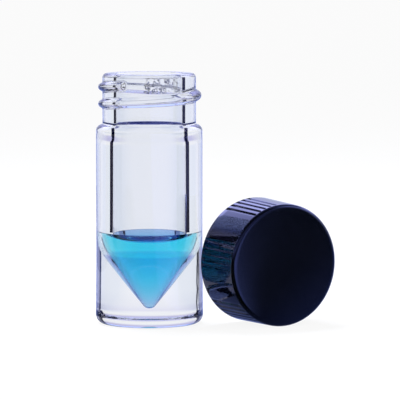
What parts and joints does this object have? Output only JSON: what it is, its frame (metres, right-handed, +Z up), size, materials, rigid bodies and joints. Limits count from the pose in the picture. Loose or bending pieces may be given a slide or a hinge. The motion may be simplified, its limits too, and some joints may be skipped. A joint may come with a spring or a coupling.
{
  "type": "glass sample vial",
  "caption": "Heavy-walled clear glass vial with a threaded neck and a conical inside holding a little liquid, standing beside its black ribbed screw cap and sealing disc.",
  "frame": {"origin": "middle of the vial's foot, on the surface it stands on", "axes": "+Z up along the vial's axis; the cap lies towards +X, its closed face turned to -Y and +X, 30.5 degrees from -Y"},
  "size_m": [0.0451, 0.0223, 0.0472],
  "materials": {
    "glass": "clear, polished",
    "liquid": "clear, tinted blue",
    "cap": "moulded black, semi-gloss",
    "liner": "smooth, off-white"
  },
  "bodies": {
    "root": {"vial": "glass", "liquid_sample": "liquid", "cap": "cap", "cap_liner": "liner"}
  },
  "joints": []
}
